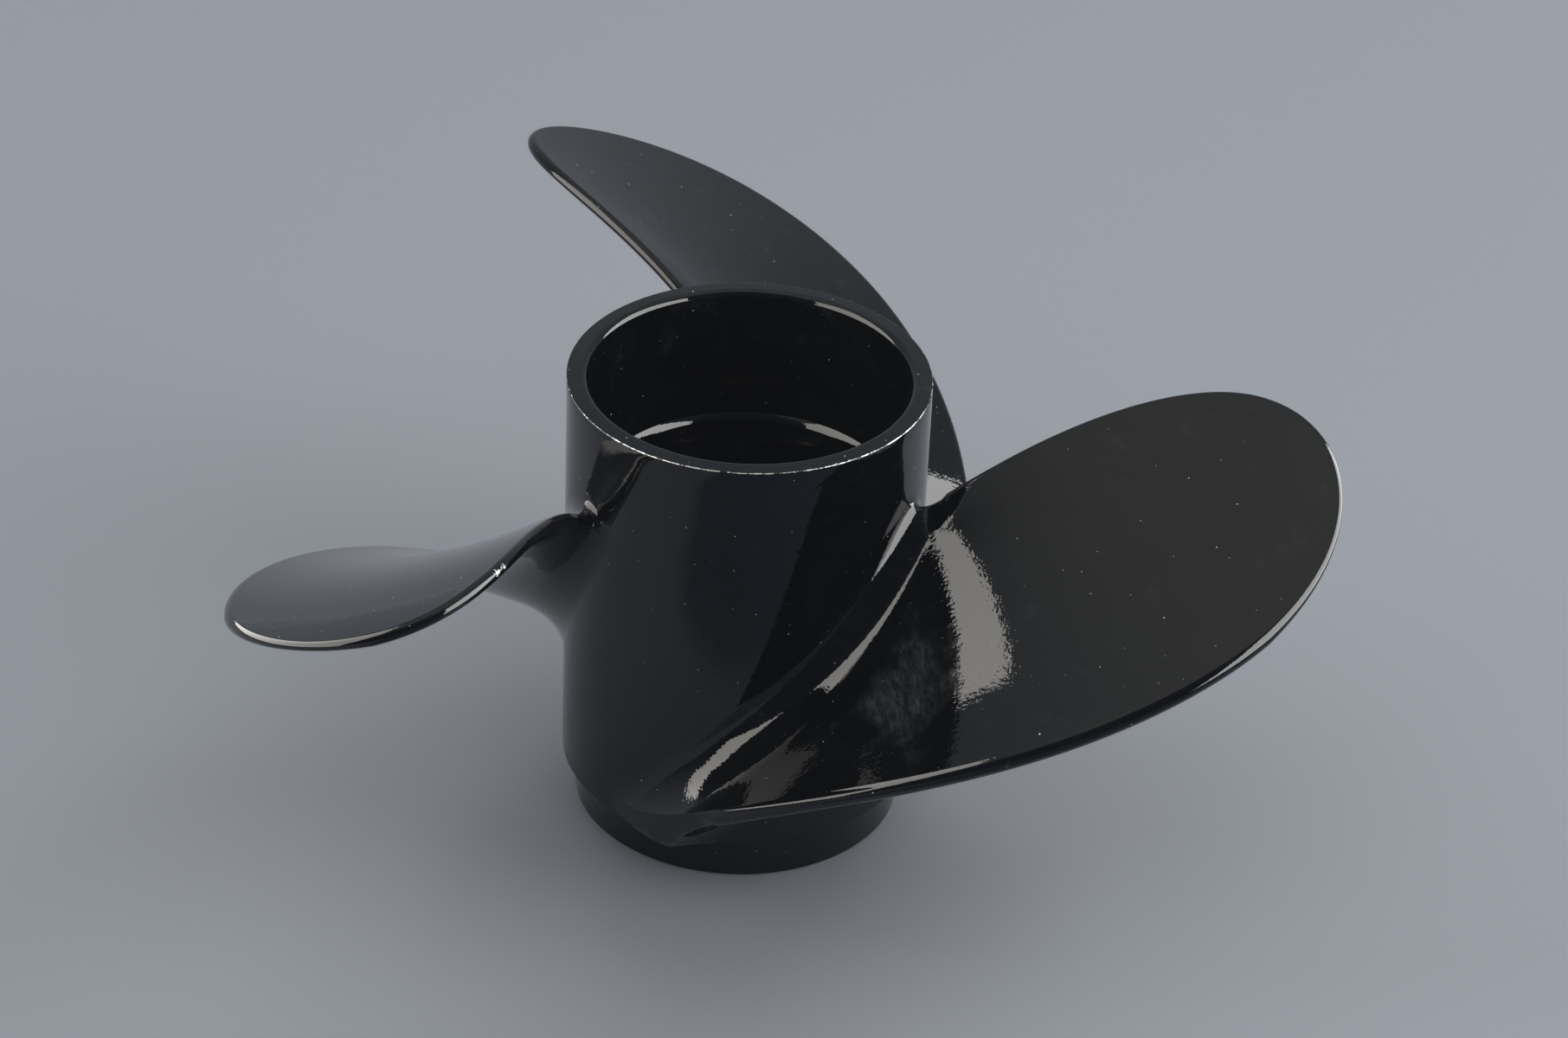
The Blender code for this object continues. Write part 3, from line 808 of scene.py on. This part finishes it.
edit([sleeve])
for reach, height in (
    (SLEEVE_RADIUS, low + SLEEVE_CHAMFER),
    (SLEEVE_RADIUS, high - SLEEVE_CHAMFER),
    (SLEEVE_RADIUS - SLEEVE_CHAMFER, high),
    (LEAD_RADIUS, high),
    (splined, high - LEAD),
    (splined, low + LEAD),
    (LEAD_RADIUS, low),
    (SLEEVE_RADIUS - SLEEVE_CHAMFER, low),
):
    drawn(reach, height)
bpy.ops.mesh.select_all(action="SELECT")
bpy.ops.mesh.remove_doubles(threshold=MERGE)
bpy.ops.mesh.normals_make_consistent(inside=False)
bpy.ops.object.mode_set(mode="OBJECT")
bpy.ops.object.shade_smooth_by_angle(angle=SLEEVE_SHARP_ANGLE)
sleeve.name = sleeve.data.name = "brass_sleeve"

brass = bpy.data.materials.new("sleeve_brass")
brass.use_nodes = True
tree = brass.node_tree
shader = tree.nodes["Principled BSDF"]
place = node(tree, "TexCoord", {}).outputs["Object"]
parts = node(tree, "SeparateXYZ", {"Vector": place})
stain = noise(tree, place, 120.0, 4.0, 0.6)
grease = ramp(tree, stain, 0.42, 0.62)
ends = sums(tree, "ABSOLUTE", sums(tree, "SUBTRACT", parts.outputs["Z"], (low + high) / 2))
ends = ramp(tree, ends, (high - low) / 2 - 0.0012, (high - low) / 2)
bright = placed(tree, "wear", {"Vector": place, "Edge": ends, "Scale": 900.0, "Amount": -0.02})
rings = node(tree, "Mapping", {"Vector": place, "Scale": (0.05, 0.05, 1.0)}).outputs[0]
turning = noise(tree, rings, 2600.0, 2.0)
color = blend(tree, stain, BRASS_DARK, BRASS_BROWN)
color = blend(tree, bright, color, BRASS_WORN)
color = blend(tree, grease, color, GREASE)
specks = placed(tree, "dust", {"Vector": place, "Scale": 600.0, "Share": 0.5, "Size": 0.12})
color = blend(tree, specks, color, DULL_DUST)
tree.links.new(color, shader.inputs["Base Color"])
bare = sums(tree, "SUBTRACT", 1.0, sums(tree, "MULTIPLY", grease, 0.8))
tree.links.new(bare, shader.inputs["Metallic"])
tree.links.new(sums(tree, "MULTIPLY_ADD", stain, 0.30, 0.28), shader.inputs["Roughness"])
marks = sums(tree, "MULTIPLY", grease, GREASE_HEIGHT)
marks = sums(tree, "MULTIPLY_ADD", turning, TURNING_MARKS, marks)
bump = node(tree, "Bump", {"Height": marks, "Distance": 1.0, "Strength": 1.0})
tree.links.new(bump.outputs[0], shader.inputs["Normal"])
sleeve.data.materials.append(brass)
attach(sleeve, "root")
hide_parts("splined_sleeve")


# Floor and light
# A large matt floor with a dark card in front that only the gloss mirrors, painted shade in the
# reflection of the floor there, a soft light close on each side, more soft lights farther off,
# and an even room that is brightest overhead and dark behind the camera.

FLOOR_SIZE = 3.2
FLOOR_COLOR = (0.235, 0.247, 0.272, 1.0)
STAGE_ROUGHNESS = 0.9
STAGE_SPECULAR = 0.2
CARD_SIZE = 1.0
CARD_PLACE = (0.385, -0.618, 0.0008)
# Painted shade: the dark blue-grey that the gloss mirrors in place of the floor in front
MIRRORED_SHADE_COLOR = (0.080, 0.104, 0.138, 1.0)
CARD_FAR_FADE = (0.468, 0.500)
CARD_LEFT_FADE = (-0.500, -0.461)
WHITE = (1.0, 1.0, 1.0)
WARM_WHITE = (1.0, 0.955, 0.90)
OVERHEAD = (0.57, 0.57, 0.54, 1.0)
BEHIND_OBJECT = (0.275, 0.305, 0.335, 1.0)
BEHIND_CAMERA = (0.025, 0.035, 0.050, 1.0)
BLACK_LEVEL = (-0.0042, -0.0045, -0.0053)


def stage_plane(name, size, place, color):
    """A matt square of the stage, its material's node tree and its shader."""
    bpy.ops.object.select_all(action="DESELECT")
    bpy.ops.mesh.primitive_plane_add(size=size, location=place)
    plane = bpy.context.object
    plane.name = name
    material = bpy.data.materials.new(name)
    material.use_nodes = True
    shader = material.node_tree.nodes["Principled BSDF"]
    shader.inputs["Base Color"].default_value = color
    shader.inputs["Roughness"].default_value = STAGE_ROUGHNESS
    shader.inputs["Specular IOR Level"].default_value = STAGE_SPECULAR
    plane.data.materials.append(material)
    return plane, material.node_tree, shader


stage_plane("floor", FLOOR_SIZE, (0, 0, 0), FLOOR_COLOR)

# The card is seen only where the gloss mirrors it, as painted shade in the reflection of the floor
# in front, and fades out at its far and left sides
card, tree, shader = stage_plane("mirrored_shade_card", CARD_SIZE, CARD_PLACE, MIRRORED_SHADE_COLOR)
card.visible_camera = card.visible_diffuse = card.visible_shadow = False
parts = node(tree, "SeparateXYZ", {"Vector": node(tree, "TexCoord", {}).outputs["Object"]})
far_fade = ramp(tree, parts.outputs["Y"], *CARD_FAR_FADE, 1.0, 0.0)
left_fade = ramp(tree, parts.outputs["X"], *CARD_LEFT_FADE)
tree.links.new(sums(tree, "MULTIPLY", far_fade, left_fade), shader.inputs["Alpha"])


def soft_light(name, place, facing, size, radiance, tint, mirrored):
    """A rectangular light of a given radiance: one that the gloss mirrors, or one that only lights."""
    lamp = bpy.data.lights.new(name, "AREA")
    lamp.shape = "RECTANGLE"
    lamp.size, lamp.size_y = size
    lamp.color = tint
    lamp.energy = radiance * math.pi * size[0] * size[1]
    light = bpy.data.objects.new(name, lamp)
    bpy.context.scene.collection.objects.link(light)
    turn = Vector(facing).to_track_quat("-Z", "Y").to_matrix().to_4x4()
    light.matrix_world = Matrix.Translation(place) @ turn
    light.visible_camera = False
    light.visible_glossy = mirrored
    light.visible_diffuse = not mirrored


# Each light's place, the way it faces, its size, its radiance and its tint
LEFT_PANEL = ((-0.261, -0.056, 0.349), (0.981, -0.058, 0.182), (0.358, 0.537))
RIGHT_PANEL = ((0.320, -0.05, 0.32), (-0.984, 0, 0.18), (0.47, 0.494))
soft_light("light_left", *LEFT_PANEL, 4.15, WARM_WHITE, True)
soft_light("light_right", *RIGHT_PANEL, 6.8, WHITE, True)
for name, place, facing, size, radiance in (
    ("fill_overhead", (0, -0.9, 1.8), (0, 0.4, -1), (2.4, 1.0), 1.3),
    ("fill_near_left", *LEFT_PANEL, 0.9),
    ("fill_left", (-0.9, 0.1, 0.9), (0.7, 0, -0.65), (0.8, 0.8), 2.1),
    ("fill_right", (0.9, 0.1, 0.9), (-0.7, 0, -0.65), (0.8, 0.8), 3.2),
    ("fill_right_low", (1.2, -0.2, 0.5), (-1, 0, -0.3), (1.0, 0.8), 2.6),
    ("fill_back", (0, 2.6, 0.9), (0, -1, -0.25), (3.4, 1.4), 5.5),
    ("fill_front", (-1.2, -1.2, 1.0), (0.7, 0.7, -0.5), (1.2, 1.2), 1.9),
):
    soft_light(name, place, facing, size, radiance, WHITE, False)

# The room's light by direction
room = bpy.data.worlds.new("room")
room.use_nodes = True
tree = room.node_tree
direction = node(tree, "TexCoord", {}).outputs["Generated"]
parts = node(tree, "SeparateXYZ", {"Vector": direction})
sides = blend(tree, ramp(tree, parts.outputs["Y"], -0.70, 0.40), BEHIND_CAMERA, BEHIND_OBJECT)
reach = sums(tree, "MULTIPLY_ADD", parts.outputs["Z"], 0.13, parts.outputs["Y"])
reach = sums(tree, "MULTIPLY_ADD", parts.outputs["X"], -0.45, reach)
lit = sums(tree, "MULTIPLY", ramp(tree, reach, -0.18, 0.0), ramp(tree, parts.outputs["Z"], 0.68, 1.02))
color = blend(tree, lit, sides, OVERHEAD)
tree.links.new(color, tree.nodes["Background"].inputs["Color"])
bpy.context.scene.world = room

# Darks are held a little above black, as in the photo
view = bpy.context.scene.view_settings
view.view_transform = "Standard"
view.use_curve_mapping = True
view.curve_mapping.black_level = BLACK_LEVEL
view.curve_mapping.update()
